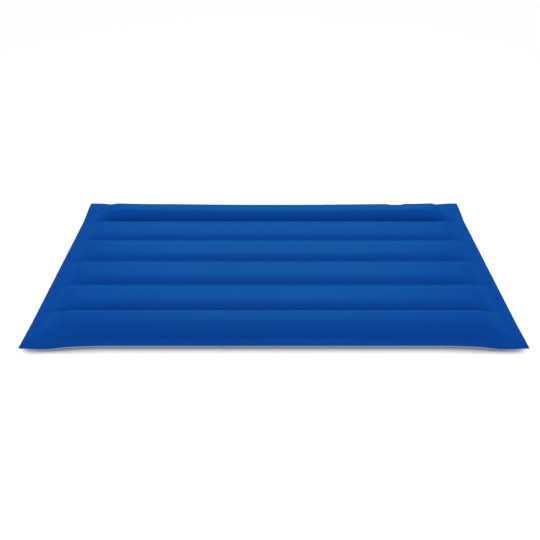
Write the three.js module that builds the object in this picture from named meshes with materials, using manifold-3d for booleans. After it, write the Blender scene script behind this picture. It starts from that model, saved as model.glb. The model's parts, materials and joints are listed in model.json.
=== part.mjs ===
// Inflatable air track mat: two coated sheets welded face to face around a flat flange, six
// lengthwise air chambers between five internal webs, and one capped, spring-loaded air valve.
// Millimetres, +Z up. X runs along the mat, Y across it, and the origin is on the floor under
// the centre. The valve sits on the slope of the chamber at +Y.
import * as THREE from 'three';
import { mergeVertices } from 'three/addons/utils/BufferGeometryUtils.js';
import Module from 'manifold-3d';

// ---- Driving dimensions: mat ----
const HALF_LENGTH = 1000;     // corner to centre, along X
const HALF_WIDTH = 500;       // corner to centre, along Y
const FLANGE = 34;            // width of the welded flange all round
const SHEET = 1.2;            // thickness of one sheet
const GAP = 0.3;              // clearance between pieces that rest on each other
const MID_Z = 34;             // height of the plane in which the sheets meet
const GROOVE_RISE = 10;       // each sheet's distance from that plane along a web
const CHAMBER_PITCH = 160;    // web to web
const WEB_COUNT = 5;
const LAND = 4;               // half width of the sheet strip welded to a web
const INNER_CROWN = 22;       // how far an inner chamber arches above its webs
const EDGE_CROWN = 47;        // the same for the two outermost chambers, which are rounder
const INNER_BELLY = 26;       // downward arch, before the floor flattens it
const EDGE_BELLY = 40;
const INNER_FULLNESS = 3.3;   // 2 makes an arch a parabola; more flattens its top
const EDGE_FULLNESS = 3.2;
const REAR_SWELL = 6;         // the rear chamber stands this much higher towards its ends
const SWELL_FADE = [0.1, 0.75];       // shares of the half length over which it rises
const END_TAPER = 125;        // length over which a chamber closes towards the end seam
const EDGE_END_TAPER = 145;   // the same for the two outermost chambers
const WEB_END_GAP = 70;       // from the end seam to full web height
const WEB_HALF_LENGTH = 892;
const SIDE_PULL = 12.5;       // the long edges draw in this far between the corners
const SIDE_PULL_FADE = [0.66, 0.97];  // shares of the half length over which that fades out
const END_PULL = 3;           // the short edges
const END_PULL_FADE = [0.7, 1];
const EDGE_DROOP = 10;        // the flange's outer edge hangs below the seam
const DROOP_CURVE = 1.2;
const REAR_CORNER = [0.8, 0.97];      // the flange levels out towards the rear corners
const CORNER_SAG = 8;         // extra droop of the front edge just inside each corner
const SAG_CENTRE = 0.9;       // where along the half length, and how far to each side
const SAG_REACH = 0.1;
const PALE_MARGIN = 2.5;      // the bottom sheet shows this far beyond the top one
const MARGIN_FADE = [0.93, 1];        // and narrows to this share of it at the corners
const MARGIN_AT_CORNER = 0.15;

// ---- Driving dimensions: valve, measured from its seat along its own axis ----
const VALVE_X = 640;
const SEAT_HIGH = 418;        // flat-sheet distances from the centre of the two points
const SEAT_LOW = 463;         // whose chord sets the lean of the seat
const SEAT_DEPTH = 4;         // the seat lies this far inside that chord
const SEAT_RADIUS = 29.5;
const HOLE_RADIUS = 16.4;
const PATCH_THICKNESS = 0.6;
const PATCH_RADIUS = 26.5;
const RIM_BOTTOM = 1.2;
const RIM_TOP = 3.2;
const RIM_RADIUS = 23.5;
const SLEEVE_RADIUS = 15.6;
const THREAD_RADIUS = 16;
const THREAD_PITCH = 4;
const RECESS_RADIUS = 12.9;
const SLEEVE_END = -21;
const SPIDER_TOP = -13.7;
const SPIDER_BOTTOM = -17.2;
const HUB_RADIUS = 6.2;
const STEM_RADIUS = 2.4;
const STEM_CLEARANCE = 0.4;
const STEM_END = -27;
const BUTTON_TOP = -2.2;
const BUTTON_BOTTOM = -4.2;
const BUTTON_RADIUS = 6;
const WING_REACH = 10.5;
const SPRING_RADIUS = 4.3;
const SPRING_WIRE = 0.45;
const SPRING_TURNS = 3;
const SEAL_RADIUS = 14.6;
const SEAL_THICKNESS = 2;
const RETAINER_RADIUS = 6;
const RETAINER_THICKNESS = 2.4;
const GASKET_THICKNESS = 1.1;
const NUT_THICKNESS = 5.5;
const NUT_RADIUS = 20.5;
const CLAMP_RADIUS = 21.5;
const NUT_LUGS = 8;
const PLUG_RADIUS = 12.3;
const PLUG_BOTTOM = -1.2;
const NECK_RADIUS = 10.4;
const CAP_RADIUS = 15;
const CAP_DISC = [4.9, 6.9];
const TETHER = [3.6, 4.6];
const HINGE_Z = -26;          // tether hinge, down the slope from the valve's centre
const HINGE_Y = 3.5;
const PIN_RADIUS = 1;
const EYE_RADIUS = 2.3;
const EYE_HALF_WIDTH = 4;
const ROUND = 32;             // segments in a full turn

// ---- Mat surface ----
const WELD_A = HALF_LENGTH - FLANGE;
const WELD_B = HALF_WIDTH - FLANGE;
const LAST_WEB = CHAMBER_PITCH * (WEB_COUNT - 1) / 2;
const EDGE_START = LAST_WEB + LAND;
const clamp01 = (t) => Math.min(1, Math.max(0, t));
const smooth = (from, to, t) => THREE.MathUtils.smoothstep(t, from, to);

// The sheet is described in flat coordinates (a, b); inflation draws its edges inwards.
function planPoint(a, b) {
  const sideShare = clamp01((Math.abs(b) - EDGE_START) / (WELD_B - EDGE_START));
  const endShare = clamp01((Math.abs(a) - WELD_A + EDGE_END_TAPER) / EDGE_END_TAPER);
  const sidePull = SIDE_PULL * (1 - smooth(...SIDE_PULL_FADE, Math.abs(a) / HALF_LENGTH));
  const endPull = END_PULL * (1 - smooth(...END_PULL_FADE, Math.abs(b) / HALF_WIDTH));
  return [a - Math.sign(a) * endPull * endShare, b - Math.sign(b) * sidePull * sideShare];
}

// Height of the plane in which the two sheets meet: level inside, drooping across the flange.
function meetingHeight(a, b) {
  const out = Math.max((Math.abs(a) - WELD_A) / FLANGE, (Math.abs(b) - WELD_B) / FLANGE, 0);
  const fromDip = (Math.abs(a) / HALF_LENGTH - SAG_CENTRE) / SAG_REACH;
  const dip = Math.abs(fromDip) < 1 ? Math.cos(fromDip * Math.PI / 2) ** 2 : 0;
  const onFrontEdge = smooth(WELD_B, HALF_WIDTH, -b);
  const atRearCorner = smooth(...REAR_CORNER, Math.abs(a) / HALF_LENGTH)
    * smooth(LAST_WEB, WELD_B, b);
  const droop = EDGE_DROOP * out ** DROOP_CURVE * (1 - atRearCorner);
  return MID_Z - droop - CORNER_SAG * dip * onFrontEdge;
}

// Arch of the given crown over a span centred on zero, nearly level on top.
function arch(offset, halfSpan, crown, fullness) {
  return crown * (1 - Math.abs(offset / halfSpan) ** fullness);
}

// Distance from the meeting plane to a sheet: the webs' share plus the chamber's arch.
function rise(a, b, innerCrown, edgeCrown) {
  const inside = WELD_A - Math.abs(a);
  const across = Math.abs(b);
  if (inside <= 0 || across >= WELD_B) return 0;
  const webShare = smooth(0, WEB_END_GAP, inside);
  const archShare = smooth(0, END_TAPER, inside);
  if (across > EDGE_START) {
    const halfSpan = (WELD_B - EDGE_START) / 2;
    const offset = across - EDGE_START - halfSpan;
    const lift = GROOVE_RISE * (WELD_B - across) / (WELD_B - EDGE_START);
    const swell = b > 0 ? REAR_SWELL * smooth(...SWELL_FADE, Math.abs(a) / HALF_LENGTH) : 0;
    const edgeShare = smooth(0, EDGE_END_TAPER, inside);
    return lift * webShare + arch(offset, halfSpan, edgeCrown + swell, EDGE_FULLNESS) * edgeShare;
  }
  const fromWeb = across - CHAMBER_PITCH * Math.round(across / CHAMBER_PITCH);
  if (Math.abs(fromWeb) <= LAND) return GROOVE_RISE * webShare;
  const halfSpan = CHAMBER_PITCH / 2 - LAND;
  const offset = CHAMBER_PITCH / 2 - Math.abs(fromWeb);
  const arched = arch(offset, halfSpan, innerCrown, INNER_FULLNESS);
  return GROOVE_RISE * webShare + arched * archShare;
}

function topOuter(a, b) {
  const height = meetingHeight(a, b) + GAP / 2 + SHEET + rise(a, b, INNER_CROWN, EDGE_CROWN);
  return new THREE.Vector3(...planPoint(a, b), height);
}

// The bottom sheet lies flat where its arch would pass through the floor. Its margin beyond the
// top sheet narrows towards the corners.
function bottomOuter(a, b) {
  const narrowing = smooth(...MARGIN_FADE, Math.abs(a) / HALF_LENGTH);
  const margin = 1 - (1 - MARGIN_AT_CORNER) * narrowing;
  const beyond = Math.max(Math.abs(b) - HALF_WIDTH, 0) * (1 - margin);
  const shownB = b - Math.sign(b) * beyond;
  const height = meetingHeight(a, shownB) - GAP / 2 - SHEET
    - rise(a, shownB, INNER_BELLY, EDGE_BELLY);
  return new THREE.Vector3(...planPoint(a, shownB), Math.max(height, 0));
}

// Stations across an arch, closer together where it is steep.
function archStations(centre, halfSpan, segments) {
  const crowding = 0.7;
  const stations = [];
  for (let i = 0; i <= segments; i += 1) {
    const share = 2 * i / segments - 1;
    stations.push(centre + halfSpan * Math.sign(share) * Math.abs(share) ** crowding);
  }
  return stations;
}

function acrossStations() {
  const half = [0, LAND];
  for (let chamber = 0; chamber < (WEB_COUNT - 1) / 2; chamber += 1) {
    const centre = CHAMBER_PITCH * (chamber + 0.5);
    half.push(...archStations(centre, CHAMBER_PITCH / 2 - LAND, 6));
  }
  const halfSpan = (WELD_B - EDGE_START) / 2;
  half.push(...archStations(EDGE_START + halfSpan, halfSpan, 8), HALF_WIDTH);
  const unique = half.filter((value, i) => i === 0 || value - half[i - 1] > 1e-6);
  return [...unique.slice(1).reverse().map((value) => -value), ...unique];
}

function alongStations() {
  const shares = [1, 0.86, 0.7, 0.55, 0.4, 0.25, 0.11];
  const taper = shares.map((share) => WELD_A - EDGE_END_TAPER * share);
  const half = [0, 250, 450, SIDE_PULL_FADE[0] * HALF_LENGTH, ...taper, WELD_A, HALF_LENGTH];
  return [...half.slice(1).reverse().map((value) => -value), ...half];
}

// Closed solid between two surfaces sampled on the same grid, upper over lower.
function slabBetween(upper, lower, across = acrossStations()) {
  const along = alongStations();
  const rows = across.length;
  const layer = along.length * rows;
  const positions = [];
  for (const surface of [upper, lower]) {
    for (const a of along) {
      for (const b of across) positions.push(...surface(a, b).toArray());
    }
  }
  const index = [];
  const quad = (p, q, r, s) => index.push(p, q, r, p, r, s);
  for (let i = 0; i + 1 < along.length; i += 1) {
    for (let j = 0; j + 1 < rows; j += 1) {
      const corner = i * rows + j;
      const next = corner + rows;
      quad(corner, next, next + 1, corner + 1);
      quad(layer + corner, layer + corner + 1, layer + next + 1, layer + next);
    }
    const low = i * rows;
    const high = low + rows - 1;
    quad(low, layer + low, layer + low + rows, low + rows);
    quad(high, high + rows, layer + high + rows, layer + high);
  }
  const last = (along.length - 1) * rows;
  for (let j = 0; j + 1 < rows; j += 1) {
    quad(j, j + 1, layer + j + 1, layer + j);
    quad(last + j, layer + last + j, layer + last + j + 1, last + j + 1);
  }
  const geometry = new THREE.BufferGeometry();
  geometry.setAttribute('position', new THREE.Float32BufferAttribute(positions, 3));
  geometry.setIndex(index);
  return geometry;
}

const lowered = (surface, distance) => (a, b) => {
  const point = surface(a, b);
  point.z -= distance;
  return point;
};

// ---- Solids ----
const wasm = await Module();
wasm.setup();

function solidOf(geometry) {
  const bare = geometry.clone();
  bare.deleteAttribute('normal');
  bare.deleteAttribute('uv');
  const merged = mergeVertices(bare, 1e-4);
  return new wasm.Manifold(new wasm.Mesh({
    numProp: 3,
    vertProperties: new Float32Array(merged.attributes.position.array),
    triVerts: new Uint32Array(merged.index.array),
  }));
}

function geometryOf(solid) {
  const mesh = solid.getMesh();
  const geometry = new THREE.BufferGeometry();
  geometry.setAttribute('position', new THREE.BufferAttribute(mesh.vertProperties, 3));
  geometry.setIndex(new THREE.BufferAttribute(mesh.triVerts, 1));
  geometry.computeVertexNormals();
  return geometry;
}

// Turned piece about the Y axis from [radius, height] points, closed on itself.
function turned(profile, segments = ROUND) {
  const points = profile.map(([radius, height]) => new THREE.Vector2(radius, height));
  return new THREE.LatheGeometry(points, segments);
}

// Flat ring or, with no inner radius, a disc; bottom and top are heights on the Y axis.
function ring(inner, outer, bottom, top, segments = ROUND) {
  const profile = [[inner, bottom], [outer, bottom], [outer, top], [inner, top]];
  if (inner > 0) profile.push(profile[0]);
  return turned(profile, segments);
}

function block(width, height, depth, x, y, z) {
  return new THREE.BoxGeometry(width, height, depth).translate(x, y, z);
}

const joined = (...geometries) => geometryOf(
  geometries.map(solidOf).reduce((whole, piece) => whole.add(piece)),
);
const cutFrom = (geometry, ...tools) => geometryOf(
  tools.map(solidOf).reduce((whole, tool) => whole.subtract(tool), solidOf(geometry)),
);

// ---- Materials ----
const finish = (color, roughness, metalness = 0) => new THREE.MeshStandardMaterial({
  color, roughness, metalness,
});
const MATERIALS = {
  blueSheet: finish(0x1557a3, 0.5),
  paleSheet: finish(0xc4c9d8, 0.6),
  webFabric: finish(0xdcdcd8, 0.8),
  valvePlastic: finish(0x33373d, 0.45),
  plungerPlastic: finish(0xb9bec4, 0.4),
  rubber: finish(0x1b1b1c, 0.7),
  springSteel: finish(0xb8babd, 0.3, 1),
};

const mat = new THREE.Group();
function addPiece(parent, name, geometry, material) {
  const mesh = new THREE.Mesh(geometry, material);
  mesh.name = name;
  parent.add(mesh);
  return mesh;
}

// ---- Valve seat: a round flat in the slope of the rear chamber ----
const seatHigh = topOuter(VALVE_X, SEAT_HIGH);
const seatLow = topOuter(VALVE_X, SEAT_LOW);
const lean = Math.atan2(seatHigh.z - seatLow.z, seatLow.y - seatHigh.y);
const valve = new THREE.Group();
valve.rotation.x = Math.PI / 2 - lean;
valve.position.addVectors(seatHigh, seatLow).multiplyScalar(0.5);
valve.position.y -= SEAT_DEPTH * Math.sin(lean);
valve.position.z -= SEAT_DEPTH * Math.cos(lean);
valve.updateMatrix();
mat.add(valve);

// ---- Sheets and webs ----
function topSheet() {
  const inValve = (geometry) => solidOf(geometry.applyMatrix4(valve.matrix));
  const clearHeight = 40;
  const floorOfChamber = (a, b) => {
    const [x, y] = planPoint(a, b);
    return new THREE.Vector3(x, y, meetingHeight(a, b) + GAP / 2);
  };
  const shell = solidOf(slabBetween(topOuter, lowered(topOuter, SHEET)));
  const envelope = solidOf(slabBetween(topOuter, floorOfChamber));
  const opening = inValve(ring(0, SEAT_RADIUS + SHEET / 2, -SHEET, clearHeight));
  const cupOutside = inValve(ring(0, SEAT_RADIUS + SHEET, -SHEET, clearHeight));
  const cupInside = inValve(ring(0, SEAT_RADIUS, 0, clearHeight + 1));
  const hole = inValve(ring(0, HOLE_RADIUS, -SHEET - 1, 1));
  const cup = cupOutside.subtract(cupInside).intersect(envelope);
  return geometryOf(shell.subtract(opening).add(cup).subtract(hole));
}

function bottomSheet() {
  const edge = HALF_WIDTH + PALE_MARGIN;
  return slabBetween(lowered(bottomOuter, -SHEET), bottomOuter, [-edge, ...acrossStations(), edge]);
}

// I-section strip: a thin upright with a weld tab along its top and bottom edges.
function web() {
  const top = MID_Z + GROOVE_RISE - GAP / 2;
  const bottom = MID_Z - GROOVE_RISE + GAP / 2;
  const tabHalf = LAND - 0.5;
  const stripHalf = 0.4;
  const tab = 1;
  const half = [[tabHalf, bottom], [tabHalf, bottom + tab], [stripHalf, bottom + tab],
    [stripHalf, top - tab], [tabHalf, top - tab], [tabHalf, top]];
  const mirrored = half.map(([y, z]) => [-y, z]).reverse();
  const outline = new THREE.Shape([...half, ...mirrored].map(([y, z]) => new THREE.Vector2(y, z)));
  const options = { depth: 2 * WEB_HALF_LENGTH, bevelEnabled: false };
  const geometry = new THREE.ExtrudeGeometry(outline, options);
  return geometry.translate(0, 0, -WEB_HALF_LENGTH).rotateX(Math.PI / 2).rotateZ(Math.PI / 2);
}

addPiece(mat, 'top_sheet', topSheet(), MATERIALS.blueSheet);
addPiece(mat, 'bottom_sheet', bottomSheet(), MATERIALS.paleSheet);
for (let i = 0; i < WEB_COUNT; i += 1) {
  const piece = addPiece(mat, `web_${i + 1}`, web(), MATERIALS.webFabric);
  piece.position.y = CHAMBER_PITCH * (i - (WEB_COUNT - 1) / 2);
}

// ---- Valve pieces: local Y is the valve's axis, pointing out of the mat ----
function valveBody() {
  const edge = 0.6;
  const shell = [[RECESS_RADIUS, SLEEVE_END], [SLEEVE_RADIUS, SLEEVE_END]];
  for (let y = SLEEVE_END + 2; y < -NUT_THICKNESS; y += THREAD_PITCH) {
    shell.push([SLEEVE_RADIUS, y], [THREAD_RADIUS, y + 0.6], [THREAD_RADIUS, y + 1.2]);
    shell.push([SLEEVE_RADIUS, y + 1.8]);
  }
  shell.push([SLEEVE_RADIUS, RIM_BOTTOM], [RIM_RADIUS, RIM_BOTTOM]);
  shell.push([RIM_RADIUS, RIM_TOP - edge], [RIM_RADIUS - edge, RIM_TOP]);
  shell.push([RECESS_RADIUS, RIM_TOP], shell[0]);
  const hub = ring(STEM_RADIUS + STEM_CLEARANCE, HUB_RADIUS, SPIDER_BOTTOM, SPIDER_TOP);
  const pieces = [turned(shell), hub];
  const spokeLength = SLEEVE_RADIUS - 0.5 - (HUB_RADIUS - 1);
  for (let i = 0; i < 3; i += 1) {
    const spoke = block(spokeLength, SPIDER_TOP - SPIDER_BOTTOM, 2,
      HUB_RADIUS - 1 + spokeLength / 2, (SPIDER_TOP + SPIDER_BOTTOM) / 2, 0);
    pieces.push(spoke.rotateY(i * 2 * Math.PI / 3));
  }
  const lugWidth = 2;
  const lugOffset = EYE_HALF_WIDTH + GAP + lugWidth / 2;
  const lugReach = -HINGE_Z - RIM_RADIUS + 1.5;
  for (const side of [-1, 1]) {
    const x = side * lugOffset;
    pieces.push(block(lugWidth, RIM_TOP - RIM_BOTTOM, lugReach, x,
      (RIM_TOP + RIM_BOTTOM) / 2, HINGE_Z + lugReach / 2));
    const boss = ring(0, 1.7, -lugWidth / 2, lugWidth / 2, 16);
    pieces.push(boss.rotateZ(Math.PI / 2).translate(x, HINGE_Y, HINGE_Z));
  }
  const pin = ring(0, PIN_RADIUS, -lugOffset, lugOffset, 16);
  pieces.push(pin.rotateZ(Math.PI / 2).translate(0, HINGE_Y, HINGE_Z));
  return joined(...pieces);
}

function clampNut() {
  const top = -SHEET - GAP - GASKET_THICKNESS - GAP;
  const bottom = top - NUT_THICKNESS;
  const pieces = [ring(THREAD_RADIUS + GAP, NUT_RADIUS, bottom, top)];
  for (let i = 0; i < NUT_LUGS; i += 1) {
    const lug = block(4, NUT_THICKNESS, 4, NUT_RADIUS, (top + bottom) / 2, 0);
    pieces.push(lug.rotateY(i * 2 * Math.PI / NUT_LUGS));
  }
  return joined(...pieces);
}

function plungerStem() {
  const edge = 0.5;
  const profile = [[0, STEM_END], [STEM_RADIUS, STEM_END], [STEM_RADIUS, BUTTON_BOTTOM],
    [BUTTON_RADIUS, BUTTON_BOTTOM], [BUTTON_RADIUS, BUTTON_TOP - edge],
    [BUTTON_RADIUS - edge, BUTTON_TOP], [0, BUTTON_TOP]];
  const wings = block(2 * WING_REACH, 1.6, 3.2, 0, BUTTON_BOTTOM + 0.8, 0);
  return joined(turned(profile), wings);
}

class Helix extends THREE.Curve {
  constructor(radius, bottom, top, turns) {
    super();
    Object.assign(this, { radius, bottom, top, turns });
  }

  getPoint(t, target = new THREE.Vector3()) {
    const angle = 2 * Math.PI * this.turns * t;
    const height = this.bottom + (this.top - this.bottom) * t;
    return target.set(this.radius * Math.cos(angle), height, this.radius * Math.sin(angle));
  }
}

function returnSpring() {
  const bottom = SPIDER_TOP + GAP + SPRING_WIRE;
  const top = BUTTON_BOTTOM - GAP - SPRING_WIRE;
  const wire = new THREE.Shape();
  wire.absarc(0, 0, SPRING_WIRE, 0, 2 * Math.PI);
  return new THREE.ExtrudeGeometry(wire, {
    extrudePath: new Helix(SPRING_RADIUS, bottom, top, SPRING_TURNS),
    steps: 40,
    curveSegments: 3,
    bevelEnabled: false,
  });
}

// Plug with a seal groove, a neck that the tether's ring turns on, and a disc with a grip bar.
function valveCap() {
  const [discBottom, discTop] = CAP_DISC;
  const plugTop = TETHER[0] - GAP;
  const bore = 9;
  const profile = [[0, 2.4], [bore, 2.4], [bore, PLUG_BOTTOM], [PLUG_RADIUS, PLUG_BOTTOM],
    [PLUG_RADIUS, 0.6], [10.9, 0.6], [10.9, 2.4], [PLUG_RADIUS, 2.4], [PLUG_RADIUS, plugTop],
    [NECK_RADIUS, plugTop], [NECK_RADIUS, discBottom], [CAP_RADIUS, discBottom],
    [CAP_RADIUS, discTop - 0.5], [CAP_RADIUS - 0.5, discTop], [0, discTop]];
  const barHalf = 2.5;
  const depth = 1;
  const scoop = cutFrom(ring(0, CAP_RADIUS - 2.5, discTop - depth, discTop + 1),
    block(3 * CAP_RADIUS, 4, 2 * barHalf, 0, discTop, 0));
  return cutFrom(turned(profile), scoop);
}

function capORing() {
  const wire = 0.65;
  return new THREE.TorusGeometry(11.95, wire, 8, ROUND).rotateX(Math.PI / 2)
    .translate(0, 1.5, 0);
}

// Ring round the cap's neck, a strap down the slope, and an eye round the body's pin.
function capTether() {
  const [bottom, top] = TETHER;
  const strapLength = -HINGE_Z - EYE_RADIUS + 0.6 - NECK_RADIUS - 2;
  const strap = block(7, top - bottom, strapLength, 0, (top + bottom) / 2,
    HINGE_Z + EYE_RADIUS - 0.6 + strapLength / 2);
  const eye = ring(0, EYE_RADIUS, -EYE_HALF_WIDTH, EYE_HALF_WIDTH, 20);
  const eyeHole = ring(0, PIN_RADIUS + 0.35, -EYE_HALF_WIDTH - 1, EYE_HALF_WIDTH + 1, 20);
  const collar = ring(NECK_RADIUS + GAP, CAP_RADIUS - 0.6, bottom, top);
  const place = (geometry) => geometry.rotateZ(Math.PI / 2).translate(0, HINGE_Y, HINGE_Z);
  return cutFrom(joined(collar, strap, place(eye)), place(eyeHole));
}

const stemHole = STEM_RADIUS + GAP;
const sealTop = SLEEVE_END - GAP;
const retainerTop = sealTop - SEAL_THICKNESS - GAP;
const gasketTop = -SHEET - GAP;
const patch = ring(HOLE_RADIUS, PATCH_RADIUS, GAP, GAP + PATCH_THICKNESS);
const gasket = ring(HOLE_RADIUS, CLAMP_RADIUS, gasketTop - GASKET_THICKNESS, gasketTop);
const seal = ring(stemHole, SEAL_RADIUS, sealTop - SEAL_THICKNESS, sealTop);
const retainer = ring(stemHole, RETAINER_RADIUS, retainerTop - RETAINER_THICKNESS, retainerTop);
addPiece(valve, 'valve_patch', patch, MATERIALS.blueSheet);
addPiece(valve, 'valve_body', valveBody(), MATERIALS.valvePlastic);
addPiece(valve, 'valve_gasket', gasket, MATERIALS.rubber);
addPiece(valve, 'valve_nut', clampNut(), MATERIALS.valvePlastic);
addPiece(valve, 'valve_stem', plungerStem(), MATERIALS.plungerPlastic);
addPiece(valve, 'valve_spring', returnSpring(), MATERIALS.springSteel);
addPiece(valve, 'valve_seal', seal, MATERIALS.rubber);
addPiece(valve, 'seal_retainer', retainer, MATERIALS.plungerPlastic);
addPiece(valve, 'valve_cap', valveCap(), MATERIALS.valvePlastic);
addPiece(valve, 'cap_o_ring', capORing(), MATERIALS.rubber);
addPiece(valve, 'cap_tether', capTether(), MATERIALS.valvePlastic);

export default mat;
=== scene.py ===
"""Air track mat: fine surfaces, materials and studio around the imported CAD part."""
import json
import math

import bmesh
import bpy
import numpy as np
from mathutils import Matrix, Vector


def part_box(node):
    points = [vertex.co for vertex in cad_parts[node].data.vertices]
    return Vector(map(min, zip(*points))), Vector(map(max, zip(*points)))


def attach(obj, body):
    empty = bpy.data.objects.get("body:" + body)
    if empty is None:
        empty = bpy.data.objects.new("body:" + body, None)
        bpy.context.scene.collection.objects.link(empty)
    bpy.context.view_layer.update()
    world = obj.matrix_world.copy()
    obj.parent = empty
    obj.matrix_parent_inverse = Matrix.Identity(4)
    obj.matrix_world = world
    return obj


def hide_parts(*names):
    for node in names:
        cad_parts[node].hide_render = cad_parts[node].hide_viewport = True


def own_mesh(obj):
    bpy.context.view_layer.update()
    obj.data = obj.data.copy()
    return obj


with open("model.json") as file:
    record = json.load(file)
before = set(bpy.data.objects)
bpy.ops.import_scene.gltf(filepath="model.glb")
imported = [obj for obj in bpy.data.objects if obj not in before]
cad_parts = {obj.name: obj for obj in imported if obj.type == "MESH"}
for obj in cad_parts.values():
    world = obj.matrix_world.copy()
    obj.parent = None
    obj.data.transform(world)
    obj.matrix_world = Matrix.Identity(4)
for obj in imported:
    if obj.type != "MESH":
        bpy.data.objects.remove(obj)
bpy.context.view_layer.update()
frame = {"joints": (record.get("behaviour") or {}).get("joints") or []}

MM = 0.001

# ---- Mat dimensions, in metres ----
top_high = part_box("top_sheet")[1]
web_boxes = [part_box(f"web_{i}") for i in range(1, 6)]
HALF_LENGTH = top_high.x
HALF_WIDTH = top_high.y
WEB_HALF_LENGTH = web_boxes[0][1].x
GAP = 0.3 * MM                # clearance between pieces that rest on each other
SHEET = 1.2 * MM              # thickness of one sheet
FLANGE = 34 * MM              # welded flange all round
WEB_ROWS = [(low.y + high.y) / 2 for low, high in web_boxes]
PITCH = WEB_ROWS[1] - WEB_ROWS[0]
MID_Z = (web_boxes[0][0].z + web_boxes[0][1].z) / 2
GROOVE_RISE = web_boxes[0][1].z - MID_Z + GAP / 2
LAND = 2.5 * MM               # half width of the strip welded to a web
INNER_FULLNESS = 3.3          # 2 is a parabola; more is flatter on top and steeper at the sides
EDGE_FULLNESS = 3.2
INNER_CROWN = 22 * MM         # how far a chamber arches above its webs
EDGE_CROWN = 47 * MM
INNER_BELLY = 26 * MM         # and below them, before the floor flattens it
EDGE_BELLY = 40 * MM
REAR_SWELL = 6 * MM           # the rear chamber stands this much higher towards its ends
SWELL_FADE = (0.1, 0.75)      # shares of the half length over which it rises
END_TAPER = 125 * MM          # length over which a chamber closes towards the end seam
EDGE_END_TAPER = 145 * MM     # the same for the two outermost chambers
WEB_END_GAP = 70 * MM         # from the end seam to full web height
SIDE_PULL = 12.5 * MM         # the long edges draw in this far between the corners
SIDE_PULL_FADE = (0.66, 0.97)
END_PULL = 3 * MM             # the short edges
END_PULL_FADE = (0.7, 1.0)
EDGE_DROOP = 10 * MM          # the flange's outer edge hangs below the seam
DROOP_CURVE = 1.2
REAR_CORNER = (0.8, 0.97)     # the flange levels out towards the rear corners
CORNER_SAG = 8 * MM           # extra droop of the front edge just inside each corner
SAG_CENTRE = 0.9              # where along the half length, and how far to each side
SAG_REACH = 0.1
PALE_MARGIN = 2.5 * MM        # the bottom sheet shows this far beyond the top one
MARGIN_FADE = (0.93, 1.0)     # and narrows to this share of it at the corners
MARGIN_AT_CORNER = 0.15
FLOOR_BLEND = 1.5 * MM        # rounding where the belly meets the floor
SEAM_LINES = ((2.5 * MM, 0.45 * MM), (29.5 * MM, 0.3 * MM))  # place on the flange, depth
SEAM_LINE_WIDTH = 1.1 * MM
PUCKER_DEPTH = 0.55 * MM      # gathers where the chambers close
PUCKER_REACH = 38 * MM
PUCKER_START = (-2 * MM, 12 * MM)
PUCKER_WAVES = (              # width, share, phase, phase per end, phase per metre
    (9.1 * MM, 1.0, 0.0, 2.0, 0.0),
    (6.3 * MM, 0.7, 0.8, 0.0, 0.0),
    (14.7 * MM, 0.5, 0.0, 0.0, 11.0),
)
SHEET_CREASE = 50             # edges of the sheets sharper than this, in degrees, stay sharp
WEB_TAB_HALF = 3.5 * MM       # half width of a web's weld tab
WEB_TAB = 1 * MM              # and its thickness
WEB_STRIP_HALF = 0.4 * MM     # half thickness of a web's upright
WEB_CORNER = 0.2 * MM
WEB_RIPPLES = (               # sway, length, phase per metre across the mat
    (0.9 * MM, 43 * MM, 20),
    (0.5 * MM, 19 * MM, 7),
)
WEB_STATIONS = 150
UPRIGHT_POINTS = 9
WELD_A = HALF_LENGTH - FLANGE
WELD_B = HALF_WIDTH - FLANGE
LAST_WEB = WEB_ROWS[-1]
EDGE_START = LAST_WEB + LAND

# ---- Grid spacing ----
TOP_COUNTS = (15, (24, 40))   # stations over an inner chamber, over the front and rear ones
BOTTOM_COUNTS = (13, (20, 20))
BESIDE_WELD = (0.8, 2.2, 4.6)  # stations next to a weld, in millimetres
OPEN_FROM = 8 * MM            # even spacing starts this far from it
ON_FLANGE = (1, 1.8, 2.5, 3.2, 4.2, 6, 11, 18, 24, 27.6, 28.8, 29.5, 30.2, 31.5, 34)
NEAR_END = (176, 164, 152, 140, 128, 117, 106, 96, 86, 77, 68, 60, 52, 45, 38, 32, 26, 21, 16,
            12, 8.5, 5.5, 3, 1.2, 0)
LONG_STEP = 25 * MM           # lengthwise, from the far end as far as the valve
VALVE_REACH = 64 * MM         # close stations this far to each side of the valve
VALVE_STATIONS = 44
VALVE_GAP = 24 * MM           # from there to the first of the last few stations
LAST_STEP = 15 * MM
UNDER_VALVE = 60 * MM         # the bottom sheet has no stations this close to it

# ---- Valve frame: centre of the seat, the valve's axis and the way down the slope ----
joints = {joint["name"]: joint for joint in frame["joints"]}
SEAT = Vector(joints["cap_turn"]["pos_m"])
AXIS = Vector(joints["cap_turn"]["axis"]).normalized()
DOWN = Vector((1, 0, 0)).cross(AXIS) * -1
VALVE = Matrix.Translation(SEAT) @ Matrix((Vector((1, 0, 0)), DOWN, AXIS)).transposed().to_4x4()
SEAT_RADIUS = 29.5 * MM
DISH_RADIUS = 52 * MM         # the sheet is drawn in towards the seat from this far out
DISH_EDGE = 4.5 * MM          # but not beyond the seam of the flange
DISH_DEPTH = 5 * MM           # nor from further below the seat than this
HOLE_RADIUS = 16.4            # from here down in millimetres from the seat, along its axis
HOLE_CUT = (-8, 12)           # (bottom, top), as in all pairs below unless said otherwise
HOLE_EDGE = 0.01
PATCH = (0.3, 0.9)
PATCH_RADIUS = 26.5
RIM = (1.2, 3.2)
RIM_RADIUS = 23.5
RIM_ROUNDING = 0.9
RIM_GROOVE = (17.6, 19)       # shallow ring in the rim's top (inner, outer)
SLEEVE_RADIUS = 15.6
SLEEVE_END = -21
RECESS_RADIUS = 12.9
THREAD_PITCH = 4
THREAD = (-19.2, -9.6)
THREAD_OUTLINE = ((-0.5, -0.85), (0, -0.85), (0.4, -0.3), (0.4, 0.3), (0, 0.85), (-0.5, 0.85))
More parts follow.
